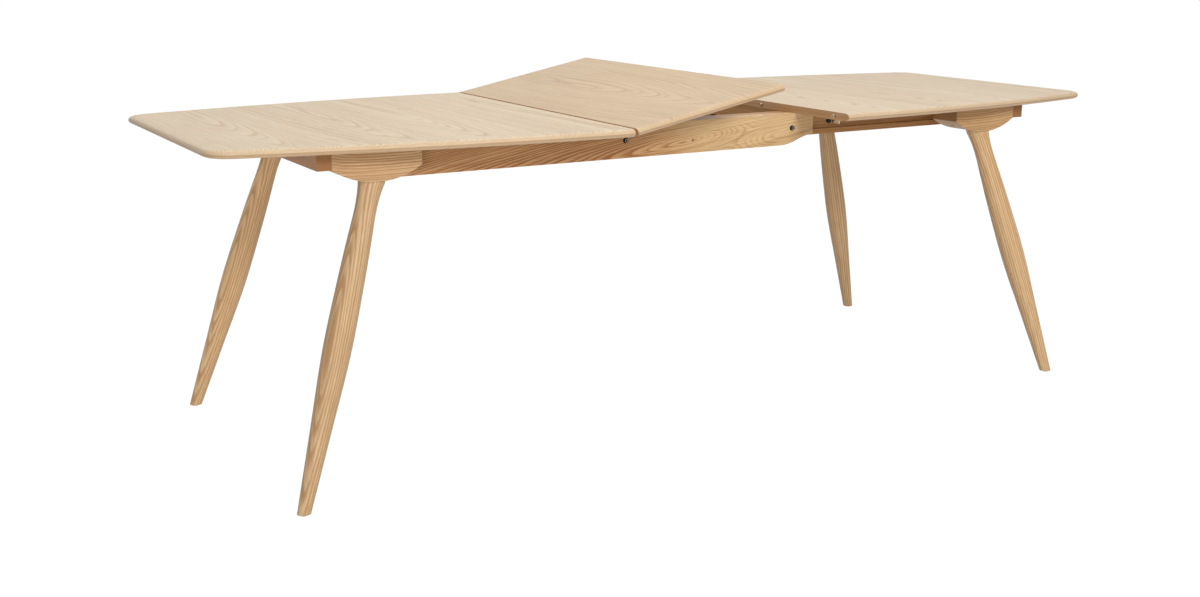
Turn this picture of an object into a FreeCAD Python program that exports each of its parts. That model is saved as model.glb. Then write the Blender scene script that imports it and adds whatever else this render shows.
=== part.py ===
import FreeCAD, Part
import math
import os

# Extending dining table in pale wood, standing pulled apart with its leaf half raised.
# +X runs along the table towards the sliding half, -Y is the near long side, +Z is up.
# The origin is on the floor under the middle of the pulled-apart table.
# The fixed half lies on the -X side, the sliding half on the +X side, the leaf between them.

Vector = FreeCAD.Vector
up = Vector(0, 0, 1)

# Table tops
table_height = 750.0
half_length = 900.0
seam_half_width = 466.0
end_half_width = 356.0
corner_radius = 58.0
top_thickness = 18.0
edge_depth = 15.0

# Opening between the halves and the leaf that fills it
pulled_gap = 585.0
leaf_length = 396.0
seam_clearance = 1.0
leaf_underside_clearance = 0.4

# Side rails of the fixed half
rail_edge_setback = 204.0
rail_thickness = 25.0
rail_depth = 77.0
rail_reach = 55.0
rail_tail_flat = 50.0
rail_tail_length = 140.0
rail_nose_length = 104.0
rail_nose_bottom = 679.0
rail_corner_radius = 14.0

# Grooved runners of the sliding half, which pass inside the side rails
runner_side_clearance = 1.5
runner_top_clearance = 0.5
runner_thickness = 38.0
runner_depth = 59.5
groove_height = 22.0
groove_depth = 12.0
groove_centre_drop = 35.8

# Guides on the side rails that run in the grooves
guide_block_length = 60.0
guide_running_clearance = 0.3
guide_tip_clearance = 0.5
guide_first_setback = 64.9
guide_spacing = 479.0
guide_stop_gap = 0.5
guide_bolt_radius = 4.0
guide_head_radius = 5.0
guide_head_height = 3.5
guide_socket_sides = 6
guide_socket_radius = 3.0
guide_socket_depth = 2.2
guide_washer_radius = 6.5
guide_washer_thickness = 1.5

# End rails and inner cross rails
end_rail_setback = 221.0
end_rail_thickness = 31.5
end_rail_depth = 38.5
inner_rail_thickness = 22.0
inner_rail_depth = 60.0
sliding_inner_rail_setback = 5.0
fixed_inner_rail_setback = 225.0
inner_rail_side_gap = 2.5

# Leg blocks
block_length = 198.0
block_width = 88.0
block_depth = 69.5
block_end_depth = 39.0

# Turned legs
foot_end_distance = 136.5
foot_half_spread = 421.0
leg_top_inset = 28.5
leg_top_shift = 4.5
foot_radius = 14.0
shin_radius = 18.0
calf_radius = 24.0
belly_radius = 29.8
thigh_radius = 28.8
throat_radius = 24.6
neck_radius = 23.6
collar_radius = 28.5
shin_height_share = 0.12
calf_height_share = 0.30
belly_height_share = 0.49
thigh_height_share = 0.65
throat_height_share = 0.84
neck_height_share = 0.95
stud_radius = 5.0
stud_reach = 42.0

# Foot glides
glide_radius = 10.0
glide_thickness = 2.0
glide_pin_radius = 2.0
glide_pin_length = 14.0

# Leaf bearers, their pivots and the bars that carry them
pivot_lead = 5.4
pivot_drop = 32.0
rest_tilt = 11.3
rest_draw = 10.5
bearer_runner_gap = 35.5
bearer_width = 24.0
bearer_nose_radius = 11.5
bearer_end_setback = 30.0
bearer_screw_shares = (0.2, 0.55, 0.9)
pivot_bolt_radius = 4.0
pivot_running_gap = 0.08
pivot_head_radius = 7.0
pivot_head_height = 5.0
pivot_side_gap = 0.5
bar_thickness = 8.0
bar_height = 16.0
bar_length = 215.0
bar_eye_radius = 11.0
bar_guide_length = 40.0
bar_guide_width = 26.0
bar_guide_floor = 8.0
bar_guide_clearance = 0.3
bar_guide_setback = 30.0
bar_guide_spacing = 100.0

# Alignment pins, their sleeves and the leaf's catches
pin_inner_offset = 125.0
pin_edge_setback = 50.5
pin_radius = 4.0
pin_stand = 9.0
pin_root = 18.0
pin_drop = 9.0
sleeve_radius = 5.5
sleeve_length = 13.0
pin_sleeve_gap = 0.5
catch_edge_setback = 111.0
catch_setback = 29.0
catch_plate_length = 44.0
catch_plate_width = 26.0
catch_plate_thickness = 1.5
catch_pin_radius = 3.0
catch_arm_thickness = 3.0
catch_arm_width = 14.0
catch_arm_gap = 0.5
catch_reach = 45.0
catch_tail = 9.0
catch_lip_depth = 10.0
catch_lip_thickness = 2.5
catch_lip_gap = 1.5
catch_lip_length = 26.0
catch_knob_radius = 6.5
catch_knob_height = 12.0
catch_stud_radius = 2.5
catch_stud_gap = 0.6
catch_stud_tail = 2.0
striker_radius = 9.0
striker_thickness = 1.5

# Rests under the leaf's free end
rest_setback = 203.0
rest_length = 40.0
rest_flange = 24.0
rest_plate_depth = 26.0
rest_plate_thickness = 2.5
rest_button_radius = 7.0
rest_button_height = 4.0
rest_button_gap = 0.5
rest_button_setback = 9.0

# Screws and dowels
fit_gap = 0.05
tip_gap = 0.5
screw_radius = 2.5
screw_head_radius = 4.8
screw_head_height = 3.0
screw_bite = 10.0
counterbore_radius = 6.0
counterbore_depth = 7.0
block_screw_spacing = 140.0
block_screw_sink = 8.0
end_screw_offset = 190.0
inner_screw_setback = 38.5
small_screw_radius = 1.75
small_head_radius = 3.4
small_head_height = 1.6
small_screw_length = 12.0
dowel_radius = 5.0
dowel_length = 40.0
dowel_spacing = 15.0
block_bolt_radius = 4.0
block_bolt_head_radius = 7.0
block_bolt_head_height = 4.0
block_bolt_bite = 45.0
block_bolt_spacing = 110.0
block_bolt_sink = 0.5
overrun = 5.0

HALVES = {"fixed": -1, "sliding": 1}
SIDES = {"near": -1, "far": 1}

# Places that several pieces share
underside = table_height - top_thickness
seam_x = pulled_gap / 2
end_rail_outer = seam_x + half_length - end_rail_setback
end_rail_inner = end_rail_outer - end_rail_thickness
inner_rail_starts = {HALVES["fixed"]: seam_x + fixed_inner_rail_setback,
                     HALVES["sliding"]: seam_x + sliding_inner_rail_setback}
rail_half_span = seam_half_width - rail_edge_setback
block_outer_y = rail_half_span + block_width
block_centre_x = end_rail_inner - block_length / 2
block_bottom = underside - block_depth
rail_inner_y = rail_half_span - rail_thickness
rail_end_x = seam_x + rail_reach
rail_bottom = underside - rail_depth
runner_outer_y = rail_inner_y - runner_side_clearance
runner_inner_y = runner_outer_y - runner_thickness
inner_screw_offset = runner_inner_y - inner_screw_setback
runner_top = underside - runner_top_clearance
runner_bottom = runner_top - runner_depth
groove_z = underside - groove_centre_drop
guide_places = (rail_end_x - guide_first_setback, rail_end_x - guide_first_setback - guide_spacing)
leaf_thickness = top_thickness - leaf_underside_clearance
leaf_underside = table_height - leaf_thickness
leaf_left_x = seam_clearance - seam_x
leaf_right_x = leaf_left_x + leaf_length
pivot_flat_x = leaf_left_x - pivot_lead
pivot_x = pivot_flat_x + rest_draw
pivot_z = table_height - pivot_drop
bearer_outer_y = runner_inner_y - bearer_runner_gap
bearer_inner_y = bearer_outer_y - bearer_width
bar_outer_y = bearer_inner_y - pivot_side_gap
bar_inner_y = bar_outer_y - bar_thickness
pin_z = table_height - pin_drop
pin_offsets = (pin_inner_offset, seam_half_width - pin_edge_setback)
catch_offset = seam_half_width - catch_edge_setback
catch_x = seam_x + catch_setback
catch_arm_top = underside - catch_plate_thickness - catch_arm_gap
catch_arm_bottom = catch_arm_top - catch_arm_thickness
catch_stud_bottom = catch_arm_bottom - catch_stud_tail


def block(xa, xb, ya, yb, za, zb):
    """Box between two opposite corners, in any order."""
    low = Vector(min(xa, xb), min(ya, yb), min(za, zb))
    high = Vector(max(xa, xb), max(ya, yb), max(za, zb))
    size = high - low
    return Part.makeBox(size.x, size.y, size.z, low)


def rod(radius, start, end):
    """Round bar from one point to another."""
    line = end - start
    return Part.makeCylinder(radius, line.Length, start, line)


def cut(shape, tools):
    """Shape with every tool taken out of it."""
    for tool in tools:
        shape = shape.cut(tool)
    return shape


def union(shapes):
    """All shapes joined into one solid."""
    joined = shapes[0]
    for shape in shapes[1:]:
        joined = joined.fuse(shape)
    return joined.removeSplitter()


def save(name, shapes):
    """Write a node: one solid, or a group of separate solids."""
    group = shapes if isinstance(shapes, list) else [shapes]
    node = group[0] if len(group) == 1 else Part.makeCompound(group)
    node.exportStep("parts/" + name + ".step")


def raised(shape):
    """Carry a leaf piece from its flat place to its half-raised place at rest."""
    moved = shape.copy()
    moved.rotate(Vector(pivot_flat_x, 0, pivot_z), Vector(0, -1, 0), rest_tilt)
    moved.translate(Vector(rest_draw, 0, 0))
    return moved


def screw(head_place, direction, length, radius, head_radius, head_height):
    """Round-headed screw: the head stands behind head_place, the shank runs ahead of it."""
    along = Vector(direction).normalize()
    shank = rod(radius, head_place, head_place + along * length)
    head = rod(head_radius, head_place - along * head_height, head_place)
    return union([head, shank])


def screw_bore(head_place, direction, length, radius):
    """Clearance for a screw's shank, a little longer than the shank."""
    along = Vector(direction).normalize()
    return rod(radius + fit_gap, head_place, head_place + along * (length + tip_gap))


# Table tops: boards with bowed long edges, a half-elliptical outer rim and a square seam edge

side_bow = seam_half_width - end_half_width
side_radius = (half_length ** 2 + side_bow ** 2) / (2 * side_bow)
side_centre_y = seam_half_width - side_radius
corner_u = half_length - corner_radius
corner_y = side_centre_y + math.sqrt((side_radius - corner_radius) ** 2 - corner_u ** 2)
corner_angle = math.atan2(corner_u, corner_y - side_centre_y)


def rim_profile(thickness):
    """Half ellipse that a board's rim shows when cut across: it stands on z = 0 and points to +Y."""
    arc = Part.Arc(Vector(0, 0, -1), Vector(0, 1, 0), up).toShape()
    back = Part.LineSegment(up, Vector(0, 0, -1)).toShape()
    stretch = FreeCAD.Matrix()
    stretch.scale(1, edge_depth, thickness / 2)
    face = Part.Face(Part.Wire([arc, back])).transformGeometry(stretch)
    face.translate(Vector(0, 0, thickness / 2))
    return face


def core_outline(half):
    """Closed outline of one half's board inside its rim, at the underside."""

    def place(u, y):
        return Vector(half * (seam_x + u), y, underside)

    def on_side(angle, sign):
        radius = side_radius - edge_depth
        return place(radius * math.sin(angle), sign * (side_centre_y + radius * math.cos(angle)))

    def on_corner(angle, sign):
        radius = corner_radius - edge_depth
        return place(corner_u + radius * math.sin(angle), sign * (corner_y + radius * math.cos(angle)))

    square = math.pi / 2
    middle = (corner_angle + square) / 2
    edges = []
    for sign in (1, -1):
        side = (on_side(0, sign), on_side(corner_angle / 2, sign), on_side(corner_angle, sign))
        corner = (on_corner(corner_angle, sign), on_corner(middle, sign), on_corner(square, sign))
        pair = [side, corner] if sign > 0 else [corner[::-1], side[::-1]]
        edges += [Part.Arc(*points).toShape() for points in pair]
    end_line = Part.LineSegment(on_corner(square, 1), on_corner(square, -1)).toShape()
    seam_line = Part.LineSegment(on_side(0, -1), on_side(0, 1)).toShape()
    return Part.Wire(edges[:2] + [end_line] + edges[2:] + [seam_line])


def half_board(half):
    """Board of one half: a flat core and a rim carried along both sides, both corners and the end."""
    pieces = [Part.Face(core_outline(half)).extrude(up * top_thickness)]
    profile = rim_profile(top_thickness)
    for sign in SIDES.values():
        turn = -half * sign
        facing = 0 if sign > 0 else math.degrees(math.pi)
        start = profile.copy()
        start.rotate(Vector(0, 0, 0), up, facing)
        centre = Vector(half * seam_x, sign * side_centre_y, underside)
        side = start.translated(centre + Vector(0, sign * (side_radius - edge_depth), 0))
        pieces.append(side.revolve(centre, up, turn * math.degrees(corner_angle)))
        centre = Vector(half * (seam_x + corner_u), sign * corner_y, underside)
        corner = start.translated(centre + Vector(0, sign * (corner_radius - edge_depth), 0))
        corner.rotate(centre, up, turn * math.degrees(corner_angle))
        pieces.append(corner.revolve(centre, up, turn * math.degrees(math.pi / 2 - corner_angle)))
    end = profile.copy()
    end.rotate(Vector(0, 0, 0), up, -half * math.degrees(math.pi / 2))
    end.translate(Vector(half * (seam_x + half_length - edge_depth), -corner_y, underside))
    pieces.append(end.extrude(Vector(0, 2 * corner_y, 0)))
    return union(pieces)


def pin_places():
    """Distances of the alignment pins from the centre line."""
    return [sign * offset for offset in pin_offsets for sign in SIDES.values()]


def pin_sleeves(mouth_x, inward):
    """Metal sleeves set into a seam edge, open towards the other half."""
    sleeves = []
    for y in pin_places():
        mouth = Vector(mouth_x, y, pin_z)
        back = Vector(mouth_x + inward * sleeve_length, y, pin_z)
        tube = rod(sleeve_radius, mouth, back)
        sleeves.append(tube.cut(rod(pin_radius + pin_sleeve_gap, mouth, back)))
    return sleeves


def sleeve_bores(mouth_x, inward):
    """Blind bores that hold the sleeves."""
    front_x = mouth_x - inward * overrun
    back_x = mouth_x + inward * (sleeve_length + tip_gap)
    return [rod(sleeve_radius + fit_gap, Vector(front_x, y, pin_z), Vector(back_x, y, pin_z))
            for y in pin_places()]


def pin_bores():
    """Blind bores in the sliding half's seam edge for the pins' roots."""
    return [rod(pin_radius + fit_gap, Vector(seam_x - overrun, y, pin_z),
                Vector(seam_x + pin_root + tip_gap, y, pin_z)) for y in pin_places()]


# Screws that hold the tops down: from below through the leg blocks, the end rails and the inner rails

def top_screws(half):
    """Head places and lengths of one half's screws into its board."""
    places = []
    for side in SIDES.values():
        for sign in (-1, 1):
            x = half * (block_centre_x + sign * block_screw_spacing / 2)
            y = side * (rail_half_span + block_width / 2)
            places.append(Vector(x, y, underside - block_end_depth + block_screw_sink))
    for y in (-end_screw_offset, 0, end_screw_offset):
        x = half * (end_rail_inner + end_rail_thickness / 2)
        places.append(Vector(x, y, underside - end_rail_depth + counterbore_depth))
    for y in (-inner_screw_offset, inner_screw_offset):
        x = half * (inner_rail_starts[half] + inner_rail_thickness / 2)
        places.append(Vector(x, y, underside - inner_rail_depth + counterbore_depth))
    return [(place, underside + screw_bite - place.z) for place in places]


def top_screw_bores(half):
    """Shank bores and counterbores for one half's screws into its board."""
    tools = []
    for place, length in top_screws(half):
        tools.append(screw_bore(place, up, length, screw_radius))
        tools.append(rod(counterbore_radius, place - up * block_depth, place))
    return tools


# Leg blocks: boat-bottomed blocks that carry the legs, flat on top and on all four sides

def boat_profile(half, y):
    """Face across Y at a place: flat top, straight ends and one arc for the keel."""

    def place(u, drop):
        return Vector(half * (block_centre_x + u), y, underside - drop)

    reach = block_length / 2
    corners = [place(-reach, block_end_depth), place(-reach, 0), place(reach, 0), place(reach, block_end_depth)]
    edges = [Part.LineSegment(first, second).toShape() for first, second in zip(corners, corners[1:])]
    edges.append(Part.Arc(corners[-1], place(0, block_depth), corners[0]).toShape())
    return Part.Face(Part.Wire(edges))


def leg_block(half, side):
    """One block: the boat profile carried across its width."""
    return boat_profile(half, side * rail_half_span).extrude(Vector(0, side * block_width, 0))


# Turned legs: slim at the foot, fullest below the middle, a narrow neck and a flared collar

def leg_ends(half, side):
    """Points where the leg's axis meets the floor and the block."""
    foot = Vector(half * (seam_x + half_length - foot_end_distance), side * foot_half_spread, 0)
    top_x = block_centre_x + leg_top_shift
    top = Vector(half * top_x, side * (block_outer_y - leg_top_inset), block_bottom)
    return foot, top


def turned_leg(half, side):
    """One leg: its turned profile about the splayed axis, cut level at the floor and to the block's keel."""
    foot, top = leg_ends(half, side)
    axis = top - foot
    length = axis.Length
    radii = [(0, foot_radius), (shin_height_share, shin_radius), (calf_height_share, calf_radius),
             (belly_height_share, belly_radius), (thigh_height_share, thigh_radius),
             (throat_height_share, throat_radius), (neck_height_share, neck_radius), (1, collar_radius)]
    curve = Part.BSplineCurve()
    curve.interpolate([Vector(radius, 0, share * length) for share, radius in radii])
    spare = collar_radius
    low_foot = Vector(foot_radius, 0, -spare)
    high_collar = Vector(collar_radius, 0, length + spare)
    outline = [Part.LineSegment(Vector(0, 0, -spare), low_foot).toShape(),
               Part.LineSegment(low_foot, Vector(foot_radius, 0, 0)).toShape(), curve.toShape(),
               Part.LineSegment(Vector(collar_radius, 0, length), high_collar).toShape(),
               Part.LineSegment(high_collar, Vector(0, 0, length + spare)).toShape(),
               Part.LineSegment(Vector(0, 0, length + spare), Vector(0, 0, -spare)).toShape()]
    turned = Part.Face(Part.Wire(outline)).revolve(Vector(0, 0, 0), up)
    turned.Placement = FreeCAD.Placement(foot, FreeCAD.Rotation(up, axis))
    slab = block(foot.x - length, foot.x + length, foot.y - length, foot.y + length,
                 glide_thickness, underside)
    keel = boat_profile(half, side * (rail_half_span - overrun))
    return turned.common(slab).cut(keel.extrude(Vector(0, side * (block_width + 2 * overrun), 0)))


def leg_stud(half, side):
    """Threaded stud on the leg's axis, half in the leg and half in the block."""
    foot, top = leg_ends(half, side)
    along = (top - foot).normalize()
    return rod(stud_radius, top - along * stud_reach, top + along * stud_reach)


def stud_bore(half, side):
    """Bore for the stud, with room at both tips."""
    foot, top = leg_ends(half, side)
    along = (top - foot).normalize()
    reach = stud_reach + tip_gap
    return rod(stud_radius + fit_gap, top - along * reach, top + along * reach)


def foot_glide(half, side):
    """Flat glide under the foot with a nail that runs up into the leg."""
    foot, top = leg_ends(half, side)
    disc = rod(glide_radius, foot, foot + up * glide_thickness)
    nail = rod(glide_pin_radius, foot, foot + up * glide_pin_length)
    return union([disc, nail])


def glide_bore(half, side):
    """Hole for the glide's nail."""
    foot, top = leg_ends(half, side)
    return rod(glide_pin_radius + fit_gap, foot, foot + up * (glide_pin_length + tip_gap))


# Dowels that join blocks, side rails and runners to the end rails

def end_dowel_places(half, side):
    """Points on the end rail's inner face where dowels stand, by the piece that meets it there."""
    x = half * end_rail_inner
    long_y = rail_half_span - rail_thickness / 2 if half < 0 else runner_outer_y - runner_thickness / 2
    z = underside - end_rail_depth / 2
    block_y = rail_half_span + block_width / 2
    block_pair = [Vector(x, side * (block_y + sign * dowel_spacing), z) for sign in (-1, 1)]
    return {"block": block_pair, "long": [Vector(x, side * long_y, z)]}


def end_dowels(half, side, extra_radius, extra_reach):
    """Dowels, or with the extras their holes, half in the end rail and half in the piece that meets it."""
    outer = Vector(half * (end_rail_thickness / 2 + extra_reach), 0, 0)
    inner = Vector(half * (dowel_length - end_rail_thickness / 2 + extra_reach), 0, 0)
    places = end_dowel_places(half, side)
    return {piece: [rod(dowel_radius + extra_radius, spot - inner, spot + outer) for spot in spots]
            for piece, spots in places.items()}


# Side rails of the fixed half: long boards on edge, with an eased nose that runs on under the sliding half

def side_rail(side):
    """One rail: straight bottom, an ogee up to a shallow nose with a rounded top corner at its free end,
    and another ogee behind the leg block up to the depth of the end rail."""
    start_x = -end_rail_inner
    tail_x = start_x + rail_tail_flat
    deep_x = start_x + rail_tail_length
    tail_middle_x = (tail_x + deep_x) / 2
    tail_bottom = underside - end_rail_depth
    nose_x = rail_end_x - rail_nose_length
    middle_x = (nose_x + rail_end_x) / 2
    middle_z = (rail_bottom + rail_nose_bottom) / 2
    outer_y = side * rail_half_span

    def place(x, z):
        return Vector(x, outer_y, z)

    ogee = Part.BezierCurve()
    ogee.setPoles([place(nose_x, rail_bottom), place(middle_x, rail_bottom),
                   place(middle_x, (middle_z + rail_nose_bottom) / 2), place(rail_end_x, rail_nose_bottom)])
    tail = Part.BezierCurve()
    tail.setPoles([place(tail_x, tail_bottom), place(tail_middle_x, tail_bottom),
                   place(tail_middle_x, rail_bottom), place(deep_x, rail_bottom)])
    bend = rail_corner_radius * (1 - math.cos(math.pi / 4))
    top_turn = place(rail_end_x - rail_corner_radius, underside)
    end_turn = place(rail_end_x, underside - rail_corner_radius)
    edges = [Part.LineSegment(place(start_x, underside), place(start_x, tail_bottom)).toShape(),
             Part.LineSegment(place(start_x, tail_bottom), place(tail_x, tail_bottom)).toShape(),
             tail.toShape(),
             Part.LineSegment(place(deep_x, rail_bottom), place(nose_x, rail_bottom)).toShape(),
             ogee.toShape(),
             Part.LineSegment(place(rail_end_x, rail_nose_bottom), end_turn).toShape(),
             Part.Arc(end_turn, place(rail_end_x - bend, underside - bend), top_turn).toShape(),
             Part.LineSegment(top_turn, place(start_x, underside)).toShape()]
    return Part.Face(Part.Wire(edges)).extrude(Vector(0, -side * rail_thickness, 0))


def block_bolts(side):
    """Countersunk bolts from inside a side rail out into its leg block: places of their heads."""
    y = side * (rail_inner_y + block_bolt_sink + block_bolt_head_height)
    z = underside - block_end_depth / 2
    return [Vector(-block_centre_x + sign * block_bolt_spacing / 2, y, z) for sign in (-1, 1)]


block_bolt_length = rail_thickness - block_bolt_sink - block_bolt_head_height + block_bolt_bite


def block_bolt_bores(side):
    """Shank bores and head recesses of one side rail's block bolts."""
    out = Vector(0, side, 0)
    tools = []
    for place in block_bolts(side):
        tools.append(screw_bore(place, out, block_bolt_length, block_bolt_radius))
        mouth = place - out * (block_bolt_head_height + block_bolt_sink + overrun)
        tools.append(rod(block_bolt_head_radius + fit_gap, mouth, place))
    return tools


# Guides: a slippery block inside the rail, held by a socket-head bolt with a dark washer outside

guide_tip_y = runner_outer_y - groove_depth + guide_tip_clearance


def guide_bolt(x, side):
    """Bolt from the outer face of the rail into the guide block."""
    out = Vector(0, side, 0)
    seat = Vector(x, side * (rail_half_span + guide_washer_thickness), groove_z)
    length = seat.y * side - guide_tip_y - guide_running_clearance - tip_gap
    bolt = screw(seat, -out, length, guide_bolt_radius, guide_head_radius, guide_head_height)
    crown = seat + out * guide_head_height
    angles = [2 * math.pi * corner / guide_socket_sides for corner in range(guide_socket_sides)]
    corners = [crown + Vector(math.cos(angle), 0, math.sin(angle)) * guide_socket_radius for angle in angles]
    hexagon = Part.makePolygon(corners + corners[:1])
    socket = Part.Face(hexagon).extrude(-out * guide_socket_depth)
    return bolt.cut(socket)


def guide_bolt_bore(x, side):
    """Bore for a guide bolt through the rail, the washer and the guide block."""
    outer = Vector(x, side * (rail_half_span + overrun), groove_z)
    inner = Vector(x, side * (guide_tip_y + guide_running_clearance), groove_z)
    return rod(guide_bolt_radius + fit_gap, outer, inner)


def guide_washer(x, side):
    """Dark washer between the bolt's head and the rail."""
    face = Vector(x, side * rail_half_span, groove_z)
    return rod(guide_washer_radius, face, face + Vector(0, side * guide_washer_thickness, 0))


def guide_block(x, side):
    """Block that runs in the runner's groove."""
    half_height = groove_height / 2 - guide_running_clearance
    half_span = guide_block_length / 2
    return block(x - half_span, x + half_span, side * rail_inner_y, side * guide_tip_y,
                 groove_z - half_height, groove_z + half_height)


# Runners of the sliding half: bearers with a long groove on the outside, closed at the free end

def runner(side):
    """One runner with its guide groove, which stops short of the free end."""
    free_end = -rail_end_x
    board = block(free_end, end_rail_inner, side * runner_inner_y, side * runner_outer_y,
                  runner_bottom, runner_top)
    groove_start = guide_places[1] - guide_block_length / 2 - guide_stop_gap
    half_height = groove_height / 2
    groove = block(groove_start, end_rail_inner + overrun, side * (runner_outer_y - groove_depth),
                   side * (runner_outer_y + overrun), groove_z - half_height, groove_z + half_height)
    return board.cut(groove)


# Rests: dark angle brackets on the runners' inner faces with a rubber button for the lowered leaf

rest_x = seam_x - rest_setback
rest_flange_top = leaf_underside - rest_button_gap - rest_button_height


def leaf_rest(side):
    """Angle bracket: a plate on the runner's inner face and a flange that points inwards."""
    low_x = rest_x - rest_length / 2
    high_x = rest_x + rest_length / 2
    face = side * runner_inner_y
    plate = block(low_x, high_x, face, face - side * rest_plate_thickness,
                  rest_flange_top - rest_plate_depth, rest_flange_top)
    flange = block(low_x, high_x, face, face - side * rest_flange,
                   rest_flange_top - rest_plate_thickness, rest_flange_top)
    return union([plate, flange])


def rest_button(side):
    """Rubber button on the flange."""
    spot = Vector(rest_x + rest_length / 2 - rest_button_setback, side * (runner_inner_y - rest_flange / 2),
                  rest_flange_top)
    return rod(rest_button_radius, spot, spot + up * rest_button_height)


def rest_screw_places(side):
    """Heads of the screws that hold a rest to its runner."""
    y = side * (runner_inner_y - rest_plate_thickness)
    z = rest_flange_top - rest_plate_depth / 2 - rest_plate_thickness
    return [Vector(rest_x + sign * rest_length / 4, y, z) for sign in (-1, 1)]


def small_screws(places, direction):
    """Small round-headed screws at the given head places."""
    return [screw(place, direction, small_screw_length, small_screw_radius, small_head_radius,
                  small_head_height) for place in places]


def small_bores(places, direction):
    """Bores for small screws."""
    return [screw_bore(place, direction, small_screw_length, small_screw_radius) for place in places]


# Leaf: a board with the same rim on its two outer edges and square edges towards the halves

def leaf_board():
    """Leaf in its flat place: a flat core and a straight rim along each outer edge."""
    flat = seam_half_width - edge_depth
    pieces = [block(leaf_left_x, leaf_right_x, -flat, flat, leaf_underside, table_height)]
    for sign in SIDES.values():
        rim = rim_profile(leaf_thickness)
        rim.rotate(Vector(0, 0, 0), up, 0 if sign > 0 else math.degrees(math.pi))
        rim.translate(Vector(leaf_left_x, sign * flat, leaf_underside))
        pieces.append(rim.extrude(Vector(leaf_length, 0, 0)))
    return union(pieces)


# Bearers: battens under the leaf that hang on the pivot bolts at their rounded ends

def leaf_bearer(side):
    """One bearer in its flat place, before its screw holes."""
    inner = side * bearer_inner_y
    outer = side * bearer_outer_y
    start = Vector(pivot_flat_x, inner, pivot_z)
    end = Vector(pivot_flat_x, outer, pivot_z)
    low_z = pivot_z - bearer_nose_radius
    batten = block(leaf_left_x, leaf_right_x - bearer_end_setback, inner, outer, low_z, leaf_underside)
    nose = rod(bearer_nose_radius, start, end)
    neck = block(pivot_flat_x, leaf_left_x, inner, outer, low_z, pivot_z + bearer_nose_radius)
    reach = Vector(0, side * overrun, 0)
    bore = rod(pivot_bolt_radius + pivot_running_gap, start - reach, end + reach)
    return union([batten, neck, nose]).cut(bore)


def bearer_screw_places(side):
    """Heads of the screws from a bearer up into the leaf, in the flat place."""
    length = leaf_right_x - bearer_end_setback - pivot_flat_x
    y = side * (bearer_inner_y + bearer_width / 2)
    z = pivot_z - bearer_nose_radius + counterbore_depth
    return [Vector(pivot_flat_x + length * share, y, z) for share in bearer_screw_shares]


bearer_screw_length = leaf_underside + screw_bite - (pivot_z - bearer_nose_radius + counterbore_depth)


def bearer_screw_bores(side):
    """Shank bores and counterbores of one bearer's screws, in the flat place."""
    tools = []
    for place in bearer_screw_places(side):
        tools.append(screw_bore(place, up, bearer_screw_length, screw_radius))
        tools.append(rod(counterbore_radius, place - up * (counterbore_depth + overrun), place))
    return tools


# Slide bars: steel bars that carry the pivots and draw clear of the fixed half as the leaf is raised

def slide_bar(side):
    """One bar with its eye at the pivot."""
    start = Vector(pivot_x, side * bar_inner_y, pivot_z)
    end = Vector(pivot_x, side * bar_outer_y, pivot_z)
    half_height = bar_height / 2
    bar = block(pivot_x - bar_length, pivot_x, start.y, end.y, pivot_z - half_height, pivot_z + half_height)
    reach = Vector(0, side * overrun, 0)
    hole = rod(pivot_bolt_radius + fit_gap, start - reach, end + reach)
    return union([bar, rod(bar_eye_radius, start, end)]).cut(hole)


def pivot_bolt(side):
    """Bolt along Y through bar and bearer, with a head outside the bearer and a nut inside the bar."""
    inner = Vector(pivot_x, side * bar_inner_y, pivot_z)
    outer = Vector(pivot_x, side * (bearer_outer_y + pivot_side_gap), pivot_z)
    out = Vector(0, side, 0)
    shank = rod(pivot_bolt_radius, inner, outer)
    head = rod(pivot_head_radius, outer, outer + out * pivot_head_height)
    nut = rod(pivot_head_radius, inner - out * pivot_head_height, inner)
    return union([shank, head, nut])


def bar_guide_places():
    """Middles of the two guides of each bar, along X."""
    first = -seam_x - bar_guide_setback - bar_guide_length / 2
    return [first, first - bar_guide_spacing]


def bar_guide(x, side):
    """Block under the fixed top with a slot that the bar slides through."""
    middle = (bar_inner_y + bar_outer_y) / 2
    half_span = bar_guide_length / 2
    half_width = bar_guide_width / 2
    slot_half_height = bar_height / 2 + bar_guide_clearance
    slot_half_width = bar_thickness / 2 + bar_guide_clearance
    slot_low = pivot_z - slot_half_height
    body = block(x - half_span, x + half_span, side * (middle - half_width), side * (middle + half_width),
                 slot_low - bar_guide_floor, underside)
    slot = block(x - half_span - overrun, x + half_span + overrun, side * (middle - slot_half_width),
                 side * (middle + slot_half_width), slot_low, pivot_z + slot_half_height)
    return body.cut(slot)


def bar_guide_screw_places():
    """Heads of the screws that hold the bar guides up to the fixed top."""
    middle = (bar_inner_y + bar_outer_y) / 2
    offset = (bar_thickness + bar_guide_width) / 4
    z = pivot_z - bar_height / 2 - bar_guide_clearance - bar_guide_floor
    return [Vector(x, side * (middle + sign * offset), z)
            for x in bar_guide_places() for side in SIDES.values() for sign in (-1, 1)]


bar_guide_screw_length = underside + screw_bite - bar_guide_screw_places()[0].z


# Catches: a swinging arm under the sliding half hooks a stud under the leaf, or under the fixed half

def catch_pivot(side):
    """Axis of a catch where it meets the sliding top's underside."""
    return Vector(catch_x, side * catch_offset, underside)


def catch_plate(side):
    """Plate screwed under the top, with the pin that the arm turns on."""
    pivot = catch_pivot(side)
    plate = block(pivot.x - catch_plate_length / 2, pivot.x + catch_plate_length / 2,
                  pivot.y - catch_plate_width / 2, pivot.y + catch_plate_width / 2,
                  underside - catch_plate_thickness, underside)
    pin = rod(catch_pin_radius, Vector(pivot.x, pivot.y, catch_arm_bottom), pivot)
    return union([plate, pin])


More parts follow.
